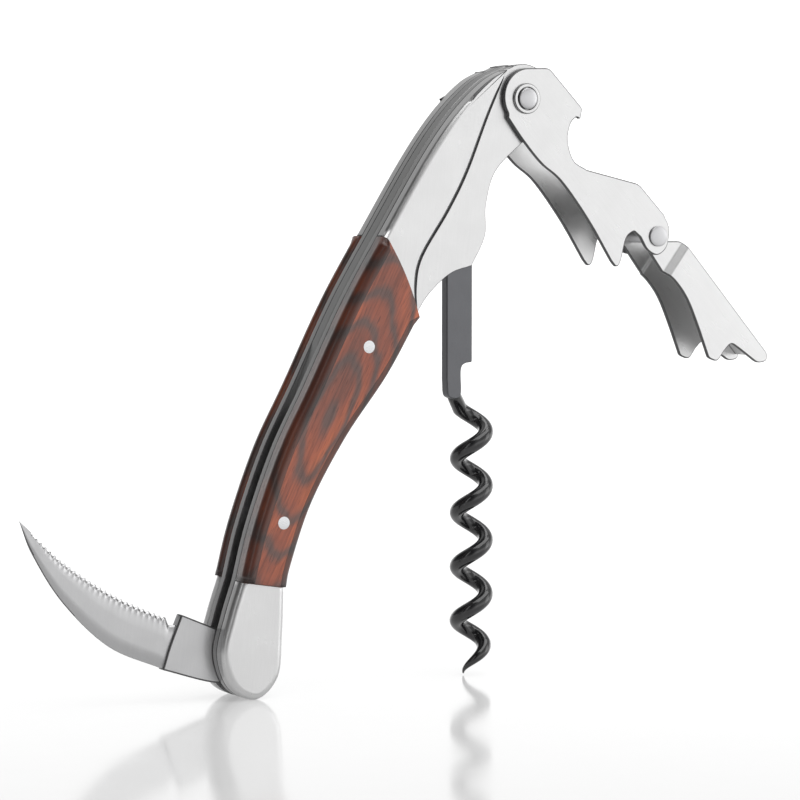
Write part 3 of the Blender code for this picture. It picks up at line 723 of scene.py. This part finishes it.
def build_handle_pins():
    for name, pin in SCALE_PINS.items():
        bm = turned(pin, both_ends(domed(SCALE_PIN_R, RIVET_OUT, RIVET_DOME)))
        piece(name + "_rivet", bm, PIN_METAL, "handle", [name], angle=ROUND_ANGLE)
    hidden = {"worm_pivot_pin": WORM_PIN, "blade_pivot_pin": BLADE_PIN, "spring_pin": SPRING_PIN}
    for name, pin in hidden.items():
        bm = turned(pin, both_ends(domed(INNER_PIN_R, LINER_OUT, RIVET_DOME)))
        piece(name + "_rivet", bm, PIN_METAL, "handle", [name], angle=ROUND_ANGLE)
    bm = turned(HEAD_PIN, both_ends(domed(HEAD_PIN_R, HEAD_PIN_TOP, HEAD_PIN_DOME)))
    piece("lever_head_pin_dome", bm, HEAD_METAL, "handle", ["lever_head_pin"],
          trim=PAINTED_SHADE_STEEL, angle=ROUND_ANGLE)
    for name, side in (("head_pin_washer_front", -1), ("head_pin_washer_back", 1)):
        inner = side * WASHER_IN
        outer = side * WASHER_OUT
        loop = [(WASHER_BORE_R, inner), (WASHER_R, inner), (WASHER_R, outer),
                (WASHER_BORE_R, outer), (WASHER_BORE_R, inner)]
        piece(name + "_ring", turned(HEAD_PIN, loop), LEVER_STEEL, "handle", [name],
              trim=PAINTED_SHADE_STEEL)


# ---------------------------------------------------------------- lever
def add_web(bm, segment):
    """The web's strip between the cheeks, outer face on the segment."""
    inner = offset_segment(segment, -SHEET)
    add_slab(bm, [segment[0], segment[1], inner[1], inner[0]],
             -LEVER_IN - WEB_LAP, LEVER_IN + WEB_LAP)


def build_lever_upper():
    outline = joined(arc(UPPER_END, UPPER_END_R, 92, 215, 36), smooth(UPPER_LOW),
                     smooth(UPPER_FOOT, 5), smooth(UPPER_BOSS), UPPER_TOP, smooth(OPENER),
                     smooth(HOOK, 3), [WEB_A[1], WEB_A[0]])
    outline = shifted(rounded(outline, TIP_CURVE), HEAD_PIN)
    webs = [shifted(web, HEAD_PIN) for web in (WEB_A, WEB_B)]
    bm = bmesh.new()
    for side in (-1, 1):
        add_slab(bm, outline, side * LEVER_IN, side * LEVER_OUT)
    for web in webs:
        add_web(bm, web)
    piece("lever_upper_sheet", bm, LEVER_STEEL, "first_step", ["lever_upper"],
          even(LEVER_EDGE), PAINTED_SHADE_STEEL, walls=True)


def joggle_share(point):
    """0 on the tab's side of the joggle and 1 past its band, in a smooth S."""
    a, b = (Vector(p) for p in shifted(JOGGLE, LEVER_PIN))
    across = Vector((a.y - b.y, b.x - a.x)).normalized()
    t = max(0.0, min(1.0, (Vector((point.x, point.z)) - a).dot(across) / JOGGLE_BAND))
    return t * t * (3 - 2 * t)


def build_lever_lower():
    outline = joined(LOWER_BACK, LOWER_TOE, smooth(LOWER_INNER),
                     arc((0.0, 0.0), TAB_R, 235, -20, 40))
    outline = shifted(rounded(outline, TIP_CURVE), LEVER_PIN)
    a, b = (Vector(p) for p in shifted(JOGGLE, LEVER_PIN))
    across = Vector((a.y - b.y, b.x - a.x)).normalized()
    back = shifted(LOWER_BACK, LEVER_PIN)
    along = (Vector(back[1]) - Vector(back[0])).normalized()
    web = [tuple(Vector(back[0]) + along * JOGGLE_BAND * WEB_PAST_JOGGLE), back[1]]
    bm = bmesh.new()
    for side in (-1, 1):
        cheek = bmesh.new()
        add_slab(cheek, outline, 0.0, 1.0)
        for k in range(JOGGLE_CUTS + 1):
            cut = a + across * JOGGLE_BAND * k / JOGGLE_CUTS
            everything = cheek.verts[:] + cheek.edges[:] + cheek.faces[:]
            bmesh.ops.bisect_plane(cheek, geom=everything, dist=1e-4,
                                   plane_co=(cut.x, 0.0, cut.y), plane_no=(across.x, 0.0, across.y))
        for vert in cheek.verts:
            share = joggle_share(vert.co)
            inner = TAB_IN + (LEVER_IN - TAB_IN) * share
            outer = TAB_OUT + (LEVER_OUT - TAB_OUT) * share
            vert.co.y = side * (inner + (outer - inner) * round(vert.co.y))
        copy = bpy.data.meshes.new("cheek")
        cheek.to_mesh(copy)
        cheek.free()
        bm.from_mesh(copy)
        bpy.data.meshes.remove(copy)
    add_web(bm, web)
    piece("lever_lower_sheet", bm, LEVER_STEEL, "second_step", ["lever_lower"],
          even(LEVER_EDGE), PAINTED_SHADE_STEEL, angle=FOLD_ANGLE, walls=True)


def build_lever_pin():
    head = domed(LEVER_PIN_HEAD_R, LEVER_PIN_TOP, LEVER_PIN_DOME)
    head += [(LEVER_PIN_HEAD_R, LEVER_PIN_HEAD_LOW), (LEVER_PIN_R, LEVER_PIN_HEAD_LOW)]
    piece("lever_joint_rivet", turned(LEVER_PIN, both_ends(head)), HEAD_METAL, "first_step",
          ["lever_joint_pin"], trim=PAINTED_SHADE_STEEL, angle=ROUND_ANGLE)


# ---------------------------------------------------------------- worm
def build_worm():
    """A flat shank that turns in the slot, and the coated wire that grows out of its foot."""
    left = WORM_PIN[0] - SHANK_HALF_WIDTH
    outline = joined(arc(WORM_PIN, SHANK_HALF_WIDTH, 0, 180, 36), [(left, 60.0)],
                     smooth(SHANK_FOOT, 5))
    bm = slab(outline, -TANG_HALF, TANG_HALF)
    piece("worm_shank", bm, SHANK_STEEL, "worm", ["worm"], even(SHANK_EDGE))
    points = []
    radii = []
    count = round(WORM_TOP / WORM_PITCH * TURN_STEPS)
    for k in range(count + 1):
        turn = k / TURN_STEPS
        angle = math.radians(WORM_PHASE) + 2 * math.pi * turn
        grown = min(1.0, POINT_R + turn / POINT_TURNS)
        coil = WORM_COIL_R * min(1.0, POINT_COIL + turn * COIL_GROWTH)
        points.append((WORM_AXIS_X + coil * math.cos(angle), coil * math.sin(angle),
                       WORM_WIRE_R * 0.2 + WORM_PITCH * turn))
        radii.append(WORM_WIRE_R * grown)
    neck = smooth([points[-1]] + NECK, 10)[1:]
    flatness = [1.0] * len(points)
    for k, point in enumerate(neck):
        share = (k + 1) / len(neck)
        points.append(point)
        radii.append(WORM_WIRE_R * (1.0 - NECK_THINNER * share))
        flatness.append(1.0 - NECK_FLATTER * min(1.0, NECK_PACE * share))
    bm = bmesh.new()
    add_tube(bm, points, radii, flatness)
    piece("worm_wire", bm, COATING, "worm", ["worm"], angle=ROUND_ANGLE)


# ---------------------------------------------------------------- knife
def toothed_edge():
    """The cutting edge from the notch to the point, with shallow scallops between its teeth."""
    smooth_edge = resampled(smooth(BLADE_EDGE), EDGE_STEPS)
    edge = []
    run = 0.0
    for k, point in enumerate(smooth_edge):
        before = smooth_edge[max(k - 1, 0)]
        after = smooth_edge[min(k + 1, len(smooth_edge) - 1)]
        run += math.dist(before, point)
        along = (Vector(after) - Vector(before)).normalized()
        inward = Vector((-along.y, along.x))
        depth = 0.0
        if TOOTHED[0] < run < TOOTHED[1]:
            depth = TOOTH_DEPTH * abs(math.sin(math.pi * run / TOOTH_PITCH)) ** 0.8
        edge.append(tuple(Vector(point) + inward * depth))
    return edge


def build_blade():
    notch = resampled(BLADE_NOTCH, NOTCH_STEPS)[:-1]
    body = notch + resampled(smooth(BLADE_EDGE), EDGE_STEPS)
    edge = notch + toothed_edge()
    back = resampled(smooth(BLADE_BACK), len(edge) - 1)
    bm = bmesh.new()
    columns = []
    for low, plain, toothed in zip(back, body, edge):
        a = Vector(low)
        thin = min(1.0, POINT_THIN + (Vector(plain) - a).length / POINT_REACH)
        column = []
        for side in (-1, 1):
            for t, half in SECTION:
                p = a + (Vector(toothed if t > TOOTHED_SHARE else plain) - a) * t
                column.append(bm.verts.new((p.x, side * half * thin, p.y)))
        columns.append(column)
    size = len(SECTION)
    order = list(range(size)) + list(range(2 * size - 1, size - 1, -1))
    for left, right in zip(columns, columns[1:]):
        for k in range(len(order)):
            i, j = order[k], order[(k + 1) % len(order)]
            bm.faces.new((left[i], left[j], right[j], right[i]))
    bm.faces.new([columns[0][k] for k in order])
    bm.faces.new([columns[-1][k] for k in order])
    bmesh.ops.remove_doubles(bm, verts=bm.verts, dist=1e-4)
    piece("blade_leaf", bm, BLADE_STEEL, "knife", ["blade"], trim=PAINTED_SHADE_STEEL,
          angle=LEAF_ANGLE, walls=True)
    tang = joined(smooth(TANG_STEP)[::-1], smooth(TANG_TOP), arc(BLADE_PIN, TANG_R, 130, -110, 48),
                  smooth(TANG_LOW))
    bm = slab(tang, -TANG_HALF, TANG_HALF)
    piece("blade_tang", bm, BLADE_STEEL, "knife", ["blade"],
          even(TANG_EDGE), PAINTED_SHADE_STEEL)


# ---------------------------------------------------------------- stage
FLOOR_REACH = 6.0
STUDIO = (                  # axis, its range, and the studio's brightness at its two ends
    ("X", -0.60, -0.05, 0.16, 1.35),
    ("Z", 0.10, 0.42, 1.0, 0.40),
)
LIGHTS = (                  # name, place, size, energy
    ("top_softbox", (0.10, -0.15, 0.75), (0.9, 0.7), 3.6),
    ("right_softbox", (0.70, -0.45, 0.25), (0.35, 0.6), 0.8),
    ("left_strip", (-0.60, -0.30, 0.30), (0.12, 0.5), 0.25),
)
LIT_POINT = (0.0, 0.0, 0.05)
CAMERA_AT = (-0.25141, -0.43190, 0.08304)
CAMERA_DOWN = 4.099         # degrees below the horizon
CAMERA_TURN = -30.0         # degrees about Z, from looking along +Y


def build_floor():
    mesh = bpy.data.meshes.new("floor")
    corners = [(x * FLOOR_REACH, y * FLOOR_REACH, 0.0)
               for x, y in ((-1, -1), (1, -1), (1, 1), (-1, 1))]
    mesh.from_pydata(corners, [], [(0, 1, 2, 3)])
    tree = Tree("floor_gloss")
    speck = tree.noise(tree.position, scale=60.0, seed=3.0, detail=2.0)
    colour = tree.ramp(speck, [(0.0, (0.34, 0.34, 0.34)), (1.0, (0.38, 0.38, 0.38))])
    tree.shader.inputs["Emission Color"].default_value = (1.0, 1.0, 1.0, 1.0)
    tree.shader.inputs["Emission Strength"].default_value = 0.36
    tree.shader.inputs["Specular IOR Level"].default_value = 0.35
    mesh.materials.append(tree.finish(colour, tree.ranged(speck, 0.3, 0.7, 0.10, 0.14), 0.0))
    floor = bpy.data.objects.new("floor", mesh)
    bpy.context.scene.collection.objects.link(floor)


def build_world():
    """A white background, and a studio for reflections: bright, greyer to the left and above."""
    world = bpy.data.worlds.new("studio")
    bpy.context.scene.world = world
    world.use_nodes = True
    nodes, links = world.node_tree.nodes, world.node_tree.links
    split = nodes.new("ShaderNodeSeparateXYZ")
    links.new(nodes.new("ShaderNodeTexCoord").outputs["Generated"], split.inputs[0])
    ranges = []
    for axis, low, high, to_low, to_high in STUDIO:
        node = nodes.new("ShaderNodeMapRange")
        node.interpolation_type = "SMOOTHSTEP"
        links.new(split.outputs[axis], node.inputs["Value"])
        for name, number in (("From Min", low), ("From Max", high), ("To Min", to_low),
                             ("To Max", to_high)):
            node.inputs[name].default_value = number
        ranges.append(node.outputs["Result"])
    product = nodes.new("ShaderNodeMath")
    product.operation = "MULTIPLY"
    links.new(ranges[0], product.inputs[0])
    links.new(ranges[1], product.inputs[1])
    seen = nodes.new("ShaderNodeMath")
    seen.operation = "MAXIMUM"
    links.new(product.outputs[0], seen.inputs[0])
    links.new(nodes.new("ShaderNodeLightPath").outputs["Is Camera Ray"], seen.inputs[1])
    background = nodes["Background"]
    links.new(seen.outputs[0], background.inputs["Color"])


def build_light(name, place_at, size, energy):
    data = bpy.data.lights.new(name, "AREA")
    data.shape = "RECTANGLE"
    data.size, data.size_y = size
    data.energy = energy
    light = bpy.data.objects.new(name, data)
    light.location = place_at
    aim = Vector(LIT_POINT) - Vector(place_at)
    light.rotation_euler = aim.to_track_quat("-Z", "Y").to_euler()
    bpy.context.scene.collection.objects.link(light)


def build_camera():
    camera = bpy.data.objects.new("camera", bpy.data.cameras.new("camera"))
    camera.data.lens = 135.0
    camera.data.sensor_width = 36.0
    camera.data.clip_start = 0.01
    camera.location = CAMERA_AT
    camera.rotation_euler = (math.radians(90.0 - CAMERA_DOWN), 0.0, math.radians(CAMERA_TURN))
    bpy.context.scene.collection.objects.link(camera)
    bpy.context.scene.camera = camera


def main():
    bpy.context.scene.view_settings.view_transform = "Standard"
    build_liners()
    build_spring()
    build_scales()
    build_upper_bolsters()
    build_lower_bolsters()
    build_handle_pins()
    build_lever_upper()
    build_lever_lower()
    build_lever_pin()
    build_worm()
    build_blade()
    build_floor()
    build_world()
    for light in LIGHTS:
        build_light(*light)
    build_camera()


main()
